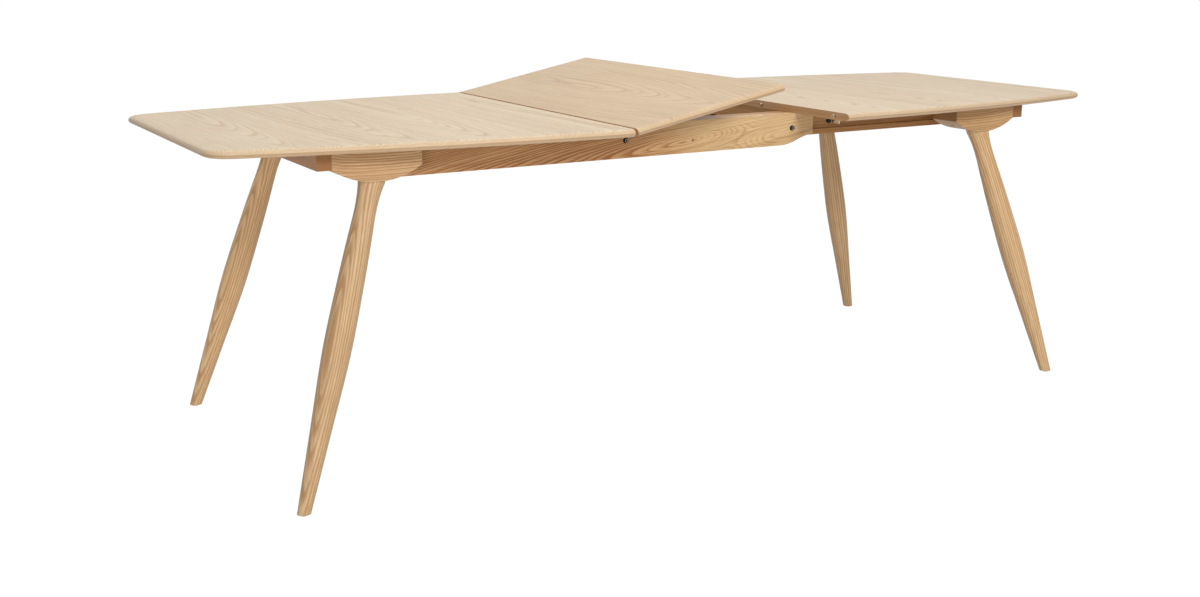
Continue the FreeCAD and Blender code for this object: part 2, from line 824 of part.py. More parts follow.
def catch_screw_places(side):
    """Heads of the screws that hold a catch plate up to the top, behind the arm's sweep."""
    pivot = catch_pivot(side)
    reach = catch_plate_length / 2 - small_head_radius - catch_plate_thickness
    return [Vector(pivot.x + reach, pivot.y + sign * catch_plate_width / 4,
                   underside - catch_plate_thickness) for sign in (-1, 1)]


def catch_arm(side):
    """Arm that points outwards when open, slotted for the stud on the side that leads as it swings in.
    Its other side is turned down into a lip beside the knob."""
    pivot = catch_pivot(side)
    x = pivot.x
    low = catch_arm_bottom - overrun
    high = catch_arm_top + overrun
    half_width = catch_arm_width / 2
    tip_y = pivot.y + side * (catch_reach + catch_tail)
    arm = block(x - half_width, x + half_width, pivot.y, tip_y, catch_arm_bottom, catch_arm_top)
    eye = rod(half_width, Vector(x, pivot.y, catch_arm_bottom), Vector(x, pivot.y, catch_arm_top))
    lip_y = pivot.y + side * (catch_knob_radius + catch_lip_gap)
    lip = block(x + half_width - catch_lip_thickness, x + half_width, lip_y, lip_y + side * catch_lip_length,
                catch_arm_bottom - catch_lip_depth, catch_arm_top)
    hole = rod(catch_pin_radius + pivot_running_gap, Vector(x, pivot.y, low), Vector(x, pivot.y, high))
    slot_radius = catch_stud_radius + catch_stud_gap
    slot_y = pivot.y + side * catch_reach
    slot_end = rod(slot_radius, Vector(x, slot_y, low), Vector(x, slot_y, high))
    slot = block(x - half_width - overrun, x, slot_y - slot_radius, slot_y + slot_radius, low, high)
    return cut(union([arm, eye, lip]), [hole, slot_end, slot])


def catch_knob(side):
    """Dark ball under the arm's eye, flat where it meets the arm and turned with it."""
    pivot = catch_pivot(side)
    centre = Vector(pivot.x, pivot.y, catch_arm_bottom - catch_knob_height + catch_knob_radius)
    reach = Vector(catch_knob_radius, catch_knob_radius, 0)
    low = centre - reach
    high = centre + reach
    over = block(low.x, high.x, low.y, high.y, catch_arm_bottom, catch_arm_bottom + catch_knob_radius)
    return cut(Part.makeSphere(catch_knob_radius, centre), [over])


def stud_plate(x, side, face_z):
    """Round plate under a board with a stud that hangs from it."""
    face = Vector(x, side * catch_offset, face_z)
    plate = rod(striker_radius, face - up * striker_thickness, face)
    stud = rod(catch_stud_radius, Vector(x, side * catch_offset, catch_stud_bottom), face)
    return union([plate, stud])


stud_setback = catch_reach - catch_setback

# Build and write each node, starting with the legs, their blocks and the end and inner rails
os.makedirs("parts", exist_ok=True)
for half_name, half in HALVES.items():
    screws = top_screws(half)
    screw_bores = top_screw_bores(half)
    studs = []
    glides = []
    dowels = []
    end_bores = []
    for side_name, side in SIDES.items():
        holes = end_dowels(half, side, fit_gap, tip_gap)
        pegs = end_dowels(half, side, 0, 0)
        dowels += pegs["block"] + pegs["long"]
        end_bores += holes["block"] + holes["long"]
        body = cut(leg_block(half, side), screw_bores + holes["block"] + [stud_bore(half, side)])
        leg = cut(turned_leg(half, side), [stud_bore(half, side), glide_bore(half, side)])
        if half_name == "fixed":
            body = cut(body, block_bolt_bores(side))
        save(half_name + "_" + side_name + "_leg_block", body)
        save(half_name + "_" + side_name + "_leg", leg)
        studs.append(leg_stud(half, side))
        glides.append(foot_glide(half, side))
    end_rail = block(half * end_rail_inner, half * end_rail_outer, -block_outer_y, block_outer_y,
                     underside - end_rail_depth, underside)
    save(half_name + "_end_rail", cut(end_rail, end_bores + screw_bores))
    inner_start = half * inner_rail_starts[half]
    inner_half_span = runner_inner_y - (inner_rail_side_gap if half_name == "fixed" else 0)
    inner_end = inner_start + half * inner_rail_thickness
    inner_rail = block(inner_start, inner_end, -inner_half_span, inner_half_span,
                       underside - inner_rail_depth, underside)
    save(half_name + "_inner_rail", cut(inner_rail, screw_bores))
    save(half_name + "_leg_studs", studs)
    save(half_name + "_foot_glides", glides)
    save(half_name + "_dowels", dowels)
    save(half_name + "_top_screws",
         [screw(place, up, length, screw_radius, screw_head_radius, screw_head_height)
          for place, length in screws])

# Tops
guide_screws = bar_guide_screw_places()
fixed_top = cut(half_board(HALVES["fixed"]), top_screw_bores(HALVES["fixed"]) + sleeve_bores(-seam_x, -1))
fixed_top = cut(fixed_top, [screw_bore(place, up, bar_guide_screw_length, small_screw_radius)
                            for place in guide_screws])
save("fixed_top", fixed_top)
save("fixed_pin_sleeves", pin_sleeves(-seam_x, -1))
catch_screws = [place for side in SIDES.values() for place in catch_screw_places(side)]
sliding_top = cut(half_board(HALVES["sliding"]), top_screw_bores(HALVES["sliding"]) + pin_bores())
save("sliding_top", cut(sliding_top, small_bores(catch_screws, up)))
save("alignment_pins",
     [rod(pin_radius, Vector(seam_x - pin_stand, y, pin_z), Vector(seam_x + pin_root, y, pin_z))
      for y in pin_places()])

# Side rails with their guides and bolts
guide_bolts = []
guide_washers = []
guide_blocks = []
rail_bolts = []
for side_name, side in SIDES.items():
    bores = [guide_bolt_bore(x, side) for x in guide_places]
    holes = end_dowels(HALVES["fixed"], side, fit_gap, tip_gap)["long"]
    save(side_name + "_side_rail", cut(side_rail(side), bores + holes + block_bolt_bores(side)))
    guide_bolts += [guide_bolt(x, side) for x in guide_places]
    guide_washers += [guide_washer(x, side).cut(bore) for x, bore in zip(guide_places, bores)]
    guide_blocks += [guide_block(x, side).cut(bore) for x, bore in zip(guide_places, bores)]
    rail_bolts += [screw(place, Vector(0, side, 0), block_bolt_length, block_bolt_radius,
                         block_bolt_head_radius, block_bolt_head_height) for place in block_bolts(side)]
save("guide_bolts", guide_bolts)
save("guide_washers", guide_washers)
save("guide_blocks", guide_blocks)
save("rail_block_bolts", rail_bolts)

# Runners and leaf rests
rest_brackets = []
rest_screws = []
for side_name, side in SIDES.items():
    out = Vector(0, side, 0)
    bores = small_bores(rest_screw_places(side), out)
    holes = end_dowels(HALVES["sliding"], side, fit_gap, tip_gap)["long"]
    save(side_name + "_runner", cut(runner(side), holes + bores))
    rest_brackets.append(cut(leaf_rest(side), bores))
    rest_screws += small_screws(rest_screw_places(side), out)
save("leaf_rest_brackets", rest_brackets)
save("leaf_rest_buttons", [rest_button(side) for side in SIDES.values()])
save("leaf_rest_screws", rest_screws)

# Leaf carriage on the fixed half
save("leaf_slide_bars", [slide_bar(side) for side in SIDES.values()])
save("leaf_pivot_bolts", [pivot_bolt(side) for side in SIDES.values()])
guide_holes = [screw_bore(place, up, bar_guide_screw_length, small_screw_radius) for place in guide_screws]
save("leaf_bar_guides", [cut(bar_guide(x, side), guide_holes)
                         for x in bar_guide_places() for side in SIDES.values()])
save("bar_guide_screws", [screw(place, up, bar_guide_screw_length, small_screw_radius, small_head_radius,
                                small_head_height) for place in guide_screws])

# Leaf
board = cut(leaf_board(), sleeve_bores(leaf_right_x, -1))
bearer_screws = []
for side_name, side in SIDES.items():
    bores = bearer_screw_bores(side)
    board = cut(board, bores)
    save(side_name + "_leaf_bearer", raised(cut(leaf_bearer(side), bores)))
    bearer_screws += [raised(screw(place, up, bearer_screw_length, screw_radius, screw_head_radius,
                                   screw_head_height)) for place in bearer_screw_places(side)]
save("leaf_board", raised(board))
save("leaf_bearer_screws", bearer_screws)
save("leaf_pin_sleeves", [raised(sleeve) for sleeve in pin_sleeves(leaf_right_x, -1)])

# Catches and the studs that they hook
leaf_stud_x = leaf_right_x - stud_setback + seam_clearance
save("leaf_catch_studs", [raised(stud_plate(leaf_stud_x, side, leaf_underside)) for side in SIDES.values()])
save("fixed_catch_studs", [stud_plate(-seam_x - stud_setback, side, underside) for side in SIDES.values()])
plates = []
for side_name, side in SIDES.items():
    plates.append(cut(catch_plate(side), small_bores(catch_screw_places(side), up)))
    save(side_name + "_catch_arm", catch_arm(side))
    save(side_name + "_catch_knob", catch_knob(side))
save("catch_plates", plates)
save("catch_screws", small_screws(catch_screws, up))
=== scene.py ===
import bpy
import math
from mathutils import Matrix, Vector

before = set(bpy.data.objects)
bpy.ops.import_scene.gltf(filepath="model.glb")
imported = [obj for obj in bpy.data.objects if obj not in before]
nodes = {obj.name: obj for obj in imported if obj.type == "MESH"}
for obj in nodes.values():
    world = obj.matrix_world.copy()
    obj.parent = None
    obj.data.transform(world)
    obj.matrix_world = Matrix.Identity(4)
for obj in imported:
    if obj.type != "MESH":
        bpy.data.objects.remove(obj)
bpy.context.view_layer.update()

# Table tops: two bowed boards, laid face down on the bench first and built on from there.
# They are faced with narrow sheets of oak veneer, its grain running across the table, and a solid lipping
# is glued round the rim and rounded over. The finish is a clear satin oil, so the pores stay open.


class Shade:
    """A socket of a finish's node tree; arithmetic on it adds Math nodes to the same tree."""

    def __init__(self, tree, socket=None):
        self.tree = tree
        self.socket = socket

    def node(self, kind, settings, inputs, out=0):
        """Add a node, set its settings and grey ramp stops, fill its sockets, and give back one output."""
        made = self.tree.nodes.new("ShaderNode" + kind)
        for name, value in settings.items():
            if name == "stops":
                elements = made.color_ramp.elements
                for place, _ in value[2:]:
                    elements.new(place)
                for element, (place, grey) in zip(elements, value):
                    element.position = place
                    element.color = (grey, grey, grey, 1)
            else:
                setattr(made, name, value)
        for name, value in inputs.items():
            socket = made.inputs[name]
            if isinstance(value, Shade):
                self.tree.links.new(value.socket, socket)
            else:
                socket.default_value = value
        return Shade(self.tree, made.outputs[out] if made.outputs else None)

    def maths(self, operation, other=0.0):
        """A Math node on this value and, where the operation takes two, another."""
        return self.node("Math", {"operation": operation}, {0: self, 1: other})

    def __add__(self, other):
        return self.maths("ADD", other)

    def __sub__(self, other):
        return self.maths("SUBTRACT", other)

    def __mul__(self, other):
        return self.maths("MULTIPLY", other)

    def __truediv__(self, other):
        return self.maths("DIVIDE", other)

    def __rsub__(self, other):
        return self.node("Math", {"operation": "SUBTRACT"}, {0: other, 1: self})

    __radd__ = __add__
    __rmul__ = __mul__

    def between(self, low, high):
        """0 below low, 1 above high, and a smooth rise between them."""
        return self.node("MapRange", {"interpolation_type": "SMOOTHSTEP"},
                         {"Value": self, "From Min": low, "From Max": high})

    def mixed(self, first, second, blend="MIX"):
        """Two colours mixed by this share; a Mix node's colours are its sockets 6 and 7 and its output 2."""
        settings = {"data_type": "RGBA", "blend_type": blend}
        return self.node("Mix", settings, {0: self, 6: first, 7: second}, out=2)

    def toward(self, colour, share):
        """This colour mixed with another by a share."""
        return share.mixed(self, colour)

    def axis(self, index):
        """One component of this vector."""
        return self.node("SeparateXYZ", {}, {0: self}, out=index)

    def vector(self, operation, other):
        """A Vector Math node on this vector and another."""
        return self.node("VectorMath", {"operation": operation}, {0: self, 1: other})

    def length(self):
        """Distance of this place from the origin."""
        return self.node("VectorMath", {"operation": "LENGTH"}, {0: self}, out="Value")

    def set_in(self, origin, turn):
        """This place as measured from an origin, along axes that are turned."""
        return self.node("Mapping", {"vector_type": "TEXTURE"},
                         {"Vector": self, "Location": origin, "Rotation": turn})

    def noise(self, scale, detail=2.0, roughness=0.5, out=0):
        """Cloudy noise at this place, about a half, as a value or as a colour."""
        return self.node("TexNoise", {}, {"Vector": self, "Scale": scale, "Detail": detail,
                                          "Roughness": roughness}, out=out)


def shaded(colour, share):
    """A screen colour made darker or paler by a share."""
    return tuple(share * part for part in colour)


def srgb(colour):
    """Linear colour of an 8-bit screen colour: a straight foot up to 10, and a power curve above it."""
    linear = (((part / 255 + 0.055) / 1.055) ** 2.4 if part > 10 else part / 3295 for part in colour)
    return (*linear, 1)


def finish_start(name):
    """A new material with an empty tree, and a first Shade to add nodes with."""
    material = bpy.data.materials.new(name)
    material.use_nodes = True
    material.node_tree.nodes.clear()
    return material, Shade(material.node_tree)


def finish_end(start, sockets):
    """Principled surface with these sockets, joined to the material's output."""
    surface = start.node("BsdfPrincipled", {}, sockets)
    start.node("OutputMaterial", {}, {"Surface": surface})


def veneer_sheets(lie, width):
    """Place in the sheet of veneer that holds it: X is cut into sheets, and the number of a sheet draws
    how far its heart lies from the middle of the sheet."""
    sheet = (lie.axis(0) / width).maths("FLOOR")
    to_middle = sheet.node("CombineXYZ", {}, {0: (sheet + 0.5) * -width})
    draw = sheet.node("TexWhiteNoise", {"noise_dimensions": "1D"}, {"W": sheet}, out="Color")
    no_shift = (0.5, 0.5, 0.15)
    heart_spread = (0.16, 1.3, 0.14)
    to_heart = draw.vector("SUBTRACT", no_shift).vector("MULTIPLY", heart_spread)
    return lie.vector("ADD", to_middle).vector("ADD", to_heart)


def growth_rings(drawn, ring, sway, ripple, second_heart):
    """Line of late wood that closes each ring, plain and with a depth of each ring's own.
    A ring's number is the distance from the heart, swayed by slow and by quick noise, over the ring's width,
    and noise along the number makes rings wide and narrow. Of two hearts the nearer one counts."""
    slow, quick = 6.0, 34.0
    swayed = drawn
    for scale, reach in ((slow, sway), (quick, ripple)):
        wander = drawn.noise(scale, out="Color").vector("SUBTRACT", (0.5, 0.5, 0.5))
        swayed = swayed.vector("ADD", wander.vector("MULTIPLY", (reach, reach, reach)))
    radius = swayed.length()
    if second_heart:
        other = swayed.vector("SUBTRACT", second_heart).length()
        blend_radius = 0.02
        radius = radius.node("Math", {"operation": "SMOOTH_MIN"}, {0: radius, 1: other, 2: blend_radius})
    even = radius / ring
    uneven_reach, uneven_rate = 2.2, 0.2
    uneven = even.node("TexNoise", {"noise_dimensions": "1D"}, {"W": even * uneven_rate, "Scale": 1.0})
    number = even + uneven_reach * uneven
    year = number.maths("FRACT")
    year_stops = [(0, 1), (0.2, 0.6), (0.48, 0.18), (0.78, 0.04), (0.92, 0.4), (1, 1)]
    late_line = year.node("ValToRGB", {"stops": year_stops}, {0: year})
    depth = number.node("TexWhiteNoise", {"noise_dimensions": "1D"}, {"W": number.maths("FLOOR")})
    return late_line, late_line * (0.3 + 0.7 * depth)


def tint_rim_with_painted_light(colour, height, bands):
    """Tint a board's rim by the height over its mid-plane: one colour under the crown of the rim, and a band
    of painted shade below the arris at the mid-plane that pales downwards into painted light, against the
    shade of the lower rim, and stops short of the underside."""
    upper, arris, lower = bands
    crown = (0.0055, 0.0082)
    arris_line = (-0.0003, 0.0003)
    palest = -0.0070
    underside = (-0.0089, -0.0080)
    colour = colour.toward(srgb(upper), 0.65 * (1 - height.between(*crown)))
    band = height.between(palest, 0).mixed(srgb(lower), srgb(arris))
    on_painted_band = height.between(*underside) * (1 - height.between(*arris_line))
    return colour.toward(band, 0.8 * on_painted_band)


def end_grain_or_seam_shade(colour, spot, end_or_shade_colour, low, high):
    """Tint the faces that lie beyond a low or a high spot on an axis, as end grain or as painted shade, with
    a soft edge just inside them.
    """
    skin, edge = 0.0003, 0.0009
    inside = spot.between(low + skin, low + edge) * (1 - spot.between(high - edge, high - skin))
    return colour.toward(srgb(end_or_shade_colour), 0.75 * (1 - inside))


def wood(name, pale, late, heart, stretch, turn=(0, 0, 0), ring=0.0042, ring_share=0.5, sway=0.06,
         ripple=0.004, fibre_share=0.7, eye=None, veneer_width=None, rim=None, heartwood_and_shade=None, ends=None):
    """Oiled wood with growth rings about a heart, in a space that a stretch draws out along the grain.
    Fine drawn-out noise gives fibres and open pores. An eye is a second heart along the grain, which is less
    drawn out between the two, and the first heart then has a knot in it. A rim is tinted about a board's
    mid-plane with the lipping's colour and a band of painted shade and painted light, heartwood together
    with painted shade darkens the low side of a stretch of X, and sawn ends have a colour of their own,
    where the seam faces of the tops and the leaf get painted shade instead."""
    material, start = finish_start(name)
    place = start.node("TexCoord", {}, {}, out="Object")
    lie = place.set_in(heart, turn)
    if veneer_width:
        lie = veneer_sheets(lie, veneer_width)
    drawn = lie.vector("DIVIDE", stretch)
    second_heart = None
    if eye:
        eye_reach, eye_aside, eye_above = eye
        eye_stretch = 4.5
        slack = eye_reach * (1 / eye_stretch - 1 / stretch[0])
        share = lie.node("MapRange", {}, {"Value": lie.axis(0), "From Max": eye_reach})
        drawn = drawn.vector("ADD", share.node("CombineXYZ", {}, {0: share * slack}))
        second_heart = (eye_reach / eye_stretch, eye_aside, eye_above)
    late_line, band = growth_rings(drawn, ring, sway, ripple, second_heart)
    if heartwood_and_shade:
        heartwood_shade_tint, dark_end, pale_start = heartwood_and_shade
        heartwood_shade_share = 1 - place.axis(0).between(dark_end, pale_start)
        band = band * (0.3 + 0.7 * heartwood_shade_share)

    fibre_length, fibre_width = 0.10, 0.0022
    pore_length, pore_width = 0.014, 0.0007
    with_grain = [draw == max(stretch) for draw in stretch]
    fibre_size = tuple(fibre_length if lengthwise else fibre_width for lengthwise in with_grain)
    pore_size = tuple(pore_length if lengthwise else pore_width for lengthwise in with_grain)
    fibre = lie.vector("DIVIDE", fibre_size).noise(1.0, detail=4.0, roughness=0.6)
    pores = lie.vector("DIVIDE", pore_size).noise(1.0)
    pits = pores.between(0.56, 0.70) * (0.3 + 0.7 * late_line)
    cloud = drawn.noise(9.0)
    ground, cloud_share = 0.28, 0.5
    shade = ground + band * ring_share + (fibre - 0.5) * fibre_share + (cloud - 0.5) * cloud_share
    pit_brown = shaded(late, 0.72)
    colour = shade.between(0.0, 1.0).mixed(srgb(pale), srgb(late)).toward(srgb(pit_brown), pits * 0.3)

    if eye:
        knot_brown = (104, 62, 34)
        knot_core, knot_edge = 0.0020, 0.0055
        colour = colour.toward(srgb(knot_brown), 0.7 * (1 - lie.length().between(knot_core, knot_edge)))
    board_place = place
    if rim:
        bands, board_middle, board_turn = rim
        board_place = place.set_in(board_middle, board_turn)
        colour = tint_rim_with_painted_light(colour, board_place.axis(2), bands)
    # Heartwood and painted shade: a darker, warmer tint multiplied into the colour on the low side of X.
    if heartwood_and_shade:
        colour = heartwood_shade_share.mixed(colour, srgb(heartwood_shade_tint), blend="MULTIPLY")
    if ends:
        end_or_shade_colour, end_axis, low, high = ends
        colour = end_grain_or_seam_shade(colour, board_place.axis(end_axis), end_or_shade_colour, low, high)

    satin = 0.44 + 0.10 * pits + 0.12 * (fibre - 0.5)
    relief = fibre * 0.35 - pits - band * 0.2
    pit_depth = 0.00025
    bump = relief.node("Bump", {}, {"Strength": 0.35, "Distance": pit_depth, "Height": relief})
    finish_end(start, {"Base Color": colour, "Roughness": satin, "Normal": bump, "IOR": 1.47,
                       "Specular IOR Level": 0.3})
    return material


def dress(material, *names):
    """Give a finish to CAD pieces, in every material slot that they have."""
    for name in names:
        for slot in nodes[name].material_slots:
            slot.material = material


def span(name, axis):
    """Lowest and highest place of a CAD piece on an axis."""
    spots = [corner[axis] for corner in nodes[name].bound_box]
    return min(spots), max(spots)


def middle(name, axis):
    """Place halfway along a CAD piece on an axis."""
    return sum(span(name, axis)) / 2


top_pale = (231, 211, 181)
top_late = (196, 167, 132)
# Rim tints: the lipping's own colour under the crown, and below the arris a band of painted shade that pales
# downwards into painted light.
lipping_and_painted_light = ((198, 169, 133), (172, 139, 105), (230, 194, 152))
# Painted shade: the seam faces of the fixed top and the leaf are tinted darker for the shade in the gaps
# between the boards, and the sliding top's seam face is tinted darker still.
seam_painted_shade = (196, 150, 104)
deep_seam_painted_shade = (176, 130, 86)
seam_line = 0.002
past_table = 2.0
top_seams = {"fixed_top": (seam_painted_shade, 0, -past_table, span("fixed_top", 0)[1] - seam_line),
             "sliding_top": (deep_seam_painted_shade, 0, span("sliding_top", 0)[0], past_table)}
top_hearts = {"fixed_top": (-0.742, 0.05, 0.66), "sliding_top": (0.742, -0.1, 0.66)}
for top, heart in top_hearts.items():
    flat_rim = (lipping_and_painted_light, (0, 0, middle(top, 2)), (0, 0, 0))
    dress(wood(f"{top}_oak", top_pale, top_late, heart, (1, 11, 1), ring=0.0046, ring_share=0.6,
               fibre_share=0.85, veneer_width=0.24, rim=flat_rim, ends=top_seams[top]), top)

# Leaf: a board like the tops, straight along its two outer edges, with the same lipping on those.
# Its veneer is a single flat-cut sheet, so broad arches of grain run over it.
# It hangs on pivots at the fixed half's seam, and stands tilted.
leaf_pale = (222, 197, 163)
leaf_late = (188, 155, 115)
leaf_tilt = math.radians(11.3)
leaf_turn = (0, -leaf_tilt, 0)
leaf_rise = 0.0232
leaf_edge = 0.0052
leaf_middle = (middle("leaf_pivot_bolts", 0) - leaf_rise * math.sin(leaf_tilt), 0,
               middle("leaf_pivot_bolts", 2) + leaf_rise * math.cos(leaf_tilt))
# The leaf's rim gets the tops' band of painted shade and painted light, and its end at the seam gets the
# same painted shade as the fixed top's seam face.
dress(wood("leaf_oak", leaf_pale, leaf_late, (-0.06, 0.25, 0.70), (1, 7, 1), turn=leaf_turn, ring=0.0062,
           sway=0.10, rim=(lipping_and_painted_light, leaf_middle, leaf_turn),
           ends=(seam_painted_shade, 0, leaf_edge + seam_line, past_table)), "leaf_board")

# Side rails, runners and cross rails: solid oak on edge, doweled and bolted together under the tops.
# They are sawn flat, so the near rail shows bold flames of grain about a knot, and it darkens and reddens
# towards the fixed half's end, partly with heartwood and partly as painted shade from the fixed top that
# overhangs it.
rail_pale = (224, 188, 140)
rail_late = (180, 135, 87)
end_grain = (138, 96, 60)
along = (9, 1, 1)
crosswise = (1, 9, 1)
knot_place = (-0.010, -0.261, 0.685)
flame_slope = math.radians(-6)
# Painted shade: a warm darker tint is multiplied into this rail's colour towards the fixed half's end, along
# with its heartwood.
dress(wood("near_rail_oak", (223, 190, 142), (166, 119, 72), knot_place, (13, 1, 1),
           turn=(0, flame_slope, 0), eye=(0.27, -0.014, -0.03), ring=0.0036, ring_share=1.3, sway=0.03,
           ripple=0.006, fibre_share=1.2, heartwood_and_shade=((241, 222, 210), -0.25, 0.06)), "near_side_rail")
dress(wood("far_rail_oak", rail_pale, rail_late, (0.10, 0.29, 0.64), (14, 1, 1), ring=0.004, ring_share=0.6,
           sway=0.03, fibre_share=0.9), "far_side_rail")
dress(wood("runner_oak", (192, 142, 91), (138, 90, 48), (0.3, -0.30, 0.75), along),
      "near_runner", "far_runner")
cross_heart = (0.3, 0.1, 0.60)
dress(wood("inner_rail_oak", (202, 156, 106), (150, 99, 57), cross_heart, crosswise),
      "fixed_inner_rail", "sliding_inner_rail")
dress(wood("end_rail_oak", (190, 133, 74), (140, 86, 40), cross_heart, crosswise,
           ends=(end_grain, 1, *span("fixed_end_rail", 1))), "fixed_end_rail", "sliding_end_rail")

# Leg blocks: boat-bottomed blocks of solid oak, bandsawn and sanded, one at each corner of the frame.
# They are doweled to the end rails, screwed up into the tops, and bored for the studs of the legs.
block_colours = {"fixed": ((216, 182, 139), (166, 122, 79)), "sliding": ((212, 174, 126), (166, 122, 76))}
corners = [(half, side, side_x, side_y) for half, side_x in (("fixed", -1), ("sliding", 1))
           for side, side_y in (("near", -1), ("far", 1))]
for half, side, side_x, side_y in corners:
    block = f"{half}_{side}_leg_block"
    heart = (0.80 * side_x, 0.36 * side_y, 0.785)
    dress(wood(f"{half}_{side}_block_oak", *block_colours[half], heart, (3.5, 1, 1), ring=0.0052,
               ring_share=1.0, sway=0.03, ripple=0.006, fibre_share=0.9,
               ends=(end_grain, 0, *span(block, 0))), block)

# Dowels: beech pegs glued into the end rails, and into the blocks, side rails and runners that meet them.
# They are out of sight once the frame is together.
dress(wood("dowel_beech", (206, 172, 130), (180, 140, 98), (0, 0, 0.7), along),
      "fixed_dowels", "sliding_dowels")

# Legs: turned from solid oak, screwed up into the blocks on a threaded stud.
# The grain follows each leg, and the turning cuts its rings into long nested ovals.
# Their tones differ a little as painted light and shade: the fixed half's far leg is made paler and its near
# leg darker, to stand in for how the light falls on them.
leg_pale = (230, 197, 153)
leg_late = (190, 147, 101)
painted_light_leg_tones = {"fixed_near": 0.95, "fixed_far": 1.10, "sliding_near": 1.03, "sliding_far": 1.02}
foot_x, foot_y = 1.056, 0.421
neck_x, neck_y, neck_z = 0.8455, 0.3215, 0.6625
heart_height = 0.45
heart_out_x, heart_out_y = -0.05, 0.03
for half, side, side_x, side_y in corners:
    painted_light_tone = painted_light_leg_tones[f"{half}_{side}"]
    foot = Vector((side_x * foot_x, side_y * foot_y, 0))
    neck = Vector((side_x * neck_x, side_y * neck_y, neck_z))
    lean = (neck - foot).to_track_quat("Z", "Y").to_euler()
    heart = foot + (neck - foot) * heart_height + Vector((heart_out_x, heart_out_y * side_x, 0))
    dress(wood(f"{half}_{side}_leg_oak", shaded(leg_pale, painted_light_tone), shaded(leg_late, painted_light_tone), heart, (1, 1, 12),
               turn=tuple(lean), ring=0.0052, ring_share=1.15, sway=0.03, fibre_share=1.3),
          f"{half}_{side}_leg")

# Leaf bearers: two battens of solid oak screwed under the leaf.
# Their rounded ends hang on the pivot bolts, and their grain runs along them.
dress(wood("bearer_oak", rail_pale, rail_late, (-0.1, 0.0, 0.62), along, turn=leaf_turn),
      "near_leaf_bearer", "far_leaf_bearer")

# Guide bolts and washers: dark plated socket-head bolts through the side rails, on black painted washers.
# They hold the guide blocks, and a key has worn a bright ring round the socket of each head.


def metal(name, colour, metallic, rough, scratch, gloss=0.5, heads=None):
    """Plated or painted metal: cloudy noise varies its tint and gloss, and hair scratches catch the light.
    Bolt heads on axes along Y, at a middle plus and minus a reach, have a worn ring round a dark socket."""
    material, start = finish_start(name)
    place = start.node("TexCoord", {}, {}, out="Object")
    cloud = place.noise(160.0, detail=3.0)
    scratches = place.noise(1800.0)
    tint = cloud.mixed(srgb(shaded(colour, 0.86)), srgb(colour))
    if heads:
        middle_x, reach_x, middle_z = heads
        worn_steel = (176, 166, 152)
        socket_edge = (0.0026, 0.0031)
        ring_edge = (0.0037, 0.0043)
        aside = (place.axis(0) - middle_x).maths("ABSOLUTE") - reach_x
        above = place.axis(2) - middle_z
        radius = (aside * aside + above * above).maths("SQRT")
        worn = radius.between(*socket_edge) * (1 - radius.between(*ring_edge))
        tint = tint.toward(srgb(worn_steel), 0.8 * worn)
    scratch_depth = 0.00005
    bump = scratches.node("Bump", {}, {"Strength": scratch, "Distance": scratch_depth, "Height": scratches})
    finish_end(start, {"Base Color": tint, "Metallic": metallic, "Roughness": rough + 0.18 * (cloud - 0.5),
                       "Normal": bump, "Specular IOR Level": gloss})
    return material


bolt_low_x, bolt_high_x = span("guide_bolts", 0)
bolt_low_z, bolt_high_z = span("guide_bolts", 2)
head_radius = (bolt_high_z - bolt_low_z) / 2
bolt_reach = (bolt_high_x - bolt_low_x) / 2 - head_radius
bolt_heads = (middle("guide_bolts", 0), bolt_reach, middle("guide_bolts", 2))
dress(metal("dark_plate", (66, 58, 50), metallic=1.0, rough=0.5, scratch=0.2, heads=bolt_heads),
      "guide_bolts")
black_paint = metal("black_paint", (20, 18, 16), metallic=0.0, rough=0.7, scratch=0.4, gloss=0.1)
dress(black_paint, "guide_washers")

# Pins and catches: bright plated steel. The pins are pressed into the sliding half's seam edge and enter
# sleeves in the other boards, and the catch arms swing on plates screwed under the same half.
# A black moulded knob on each arm is its handle.


def moulded(name, colour, rough, gloss=0.5):
    """Moulded plastic or rubber: a fine pebbled relief and a slight drift of colour."""
    material, start = finish_start(name)
    place = start.node("TexCoord", {}, {}, out="Object")
    drift = place.noise(60.0)
    pebble = place.noise(2600.0, detail=1.0)
    tint = drift.mixed(srgb(shaded(colour, 0.9)), srgb(colour))
    pebble_depth = 0.00006
    bump = pebble.node("Bump", {}, {"Strength": 0.3, "Distance": pebble_depth, "Height": pebble})
    finish_end(start, {"Base Color": tint, "Roughness": rough + 0.1 * (pebble - 0.5), "Normal": bump,
                       "Specular IOR Level": gloss})
    return material


dress(metal("bright_plate", (216, 212, 204), metallic=1.0, rough=0.24, scratch=0.15), "alignment_pins",
      "fixed_pin_sleeves", "leaf_pin_sleeves", "near_catch_arm", "far_catch_arm", "catch_plates")
dress(moulded("black_knob_plastic", (22, 20, 18), rough=0.5, gloss=0.2), "near_catch_knob", "far_catch_knob")

# Leaf rests: angle brackets bent from sheet steel and painted black, screwed to the runners' inner faces.
# A rubber button on each takes the lowered leaf.
dress(black_paint, "leaf_rest_brackets")
dress(moulded("black_button_rubber", (26, 24, 22), rough=0.8, gloss=0.1), "leaf_rest_buttons")

# Guides and glides: white nylon blocks that run in the runners' grooves or hold the leaf's bars, moulded
# and bored for their fixings, and brown plastic glides pressed into the feet.
dress(moulded("white_guide_nylon", (232, 229, 219), rough=0.5), "guide_blocks", "leaf_bar_guides")
dress(moulded("brown_glide_plastic", (128, 98, 68), rough=0.55), "fixed_foot_glides", "sliding_foot_glides")

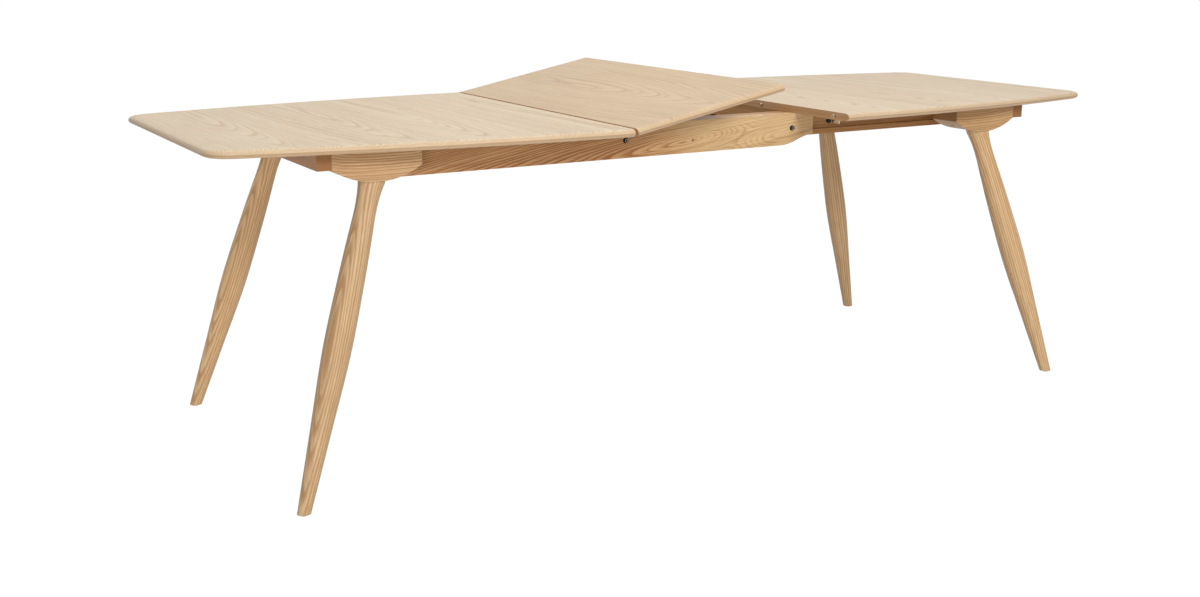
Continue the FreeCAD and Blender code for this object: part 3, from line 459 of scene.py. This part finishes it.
# Screws, studs and bars: zinc plated steel, bought in. The screws and bolts hold the tops, blocks, guides,
# rests and catches, and the studs join the legs to their blocks or are hooked by the catches.
# The bars slide in their guides under the fixed half and carry the leaf's pivots.
dress(metal("zinc_plate", (184, 184, 178), metallic=1.0, rough=0.36, scratch=0.25), "fixed_leg_studs",
      "sliding_leg_studs", "fixed_top_screws", "sliding_top_screws", "rail_block_bolts", "bar_guide_screws",
      "leaf_bearer_screws", "leaf_rest_screws", "catch_screws", "leaf_slide_bars", "leaf_pivot_bolts",
      "fixed_catch_studs", "leaf_catch_studs")

# Floor: a flat sheet of pale paper, far wider than the table, that the legs stand on.
# It runs off white in every direction, with only a faint shadow left on it.
floor_reach = 40.0
floor_corners = [(-floor_reach, -floor_reach, 0), (floor_reach, -floor_reach, 0),
                 (floor_reach, floor_reach, 0), (-floor_reach, floor_reach, 0)]
floor_mesh = bpy.data.meshes.new("floor_sweep")
floor_mesh.from_pydata(floor_corners, [], [(0, 1, 2, 3)])
floor = bpy.data.objects.new("floor_sweep", floor_mesh)
bpy.context.scene.collection.objects.link(floor)


def seen_rays(start):
    """1 for rays from the camera, from gloss or through glass, 0 for the rays that light the table."""
    camera_ray, glossy_ray, through_ray = (start.node("LightPath", {}, {}, out=f"Is {kind} Ray")
                                           for kind in ("Camera", "Glossy", "Transmission"))
    return camera_ray.maths("MAXIMUM", glossy_ray.maths("MAXIMUM", through_ray))


white = (1, 1, 1, 1)
pale_grey = (0.6, 0.6, 0.6, 1)
shadow_share = 0.07
paper_glow = 1.06
floor_finish, start = finish_start("floor_white")
seen = seen_rays(start)
paper = start.node("BsdfDiffuse", {}, {"Color": seen.mixed(pale_grey, white)})
glow = start.node("Emission", {}, {"Color": white, "Strength": paper_glow})
floor_surface = start.node("MixShader", {}, {0: (1 - shadow_share) * seen, 1: paper, 2: glow})
start.node("OutputMaterial", {}, {"Surface": floor_surface})
floor_mesh.materials.append(floor_finish)

# Light: a wide soft box overhead, one in front that throws the tops' shadow on the rails, and a low one on
# the left that reaches under the top, in an even white room.
world = bpy.data.worlds.new("white_room")
bpy.context.scene.world = world
world.use_nodes = True
world.node_tree.nodes.clear()
start = Shade(world.node_tree)
room_strength = 0.32
room_light = start.node("Background", {}, {"Color": white, "Strength": room_strength})
room_wall = start.node("Background", {}, {"Color": white, "Strength": 1.0})
room = start.node("MixShader", {}, {0: seen_rays(start), 1: room_light, 2: room_wall})
start.node("OutputWorld", {}, {"Surface": room})


def soft_box(name, place, aim, size, power):
    """Rectangular lamp at a place, turned to a point."""
    lamp = bpy.data.lights.new(name, "AREA")
    lamp.shape = "RECTANGLE"
    lamp.size, lamp.size_y = size
    lamp.energy = power
    holder = bpy.data.objects.new(name, lamp)
    holder.location = place
    holder.rotation_euler = (Vector(aim) - Vector(place)).to_track_quat("-Z", "Y").to_euler()
    bpy.context.scene.collection.objects.link(holder)


soft_box("overhead_box", place=(-0.1, 0.0, 3.2), aim=(-0.1, 0.0, 0.7), size=(3.0, 2.0), power=37)
soft_box("front_box", place=(0.1, -4.9, 2.75), aim=(0.1, -0.3, 0.7), size=(1.6, 1.0), power=110)
soft_box("left_box", place=(-2.6, -3.9, 1.0), aim=(-0.5, 0.0, 0.45), size=(1.4, 1.0), power=57)

# Camera: at the photograph's place, left of the table's middle and a little above its top.
# Its focal length is given in pixels of the photograph, and a small shift allows for the crop.
focal_pixels, picture_width = 1454.1, 1200.0
sensor_width = 36.0
look_down, look_right = math.radians(13.742), math.radians(29.394)
camera_data = bpy.data.cameras.new("view")
camera_data.sensor_width = sensor_width
camera_data.lens = focal_pixels / picture_width * sensor_width
camera_data.shift_x = 0.012
camera = bpy.data.objects.new("view", camera_data)
camera.location = (-1.9236, -3.1398, 1.1403)
camera.rotation_euler = (math.radians(90) - look_down, 0, -look_right)
bpy.context.scene.collection.objects.link(camera)
bpy.context.scene.camera = camera
bpy.context.scene.view_settings.view_transform = "Standard"
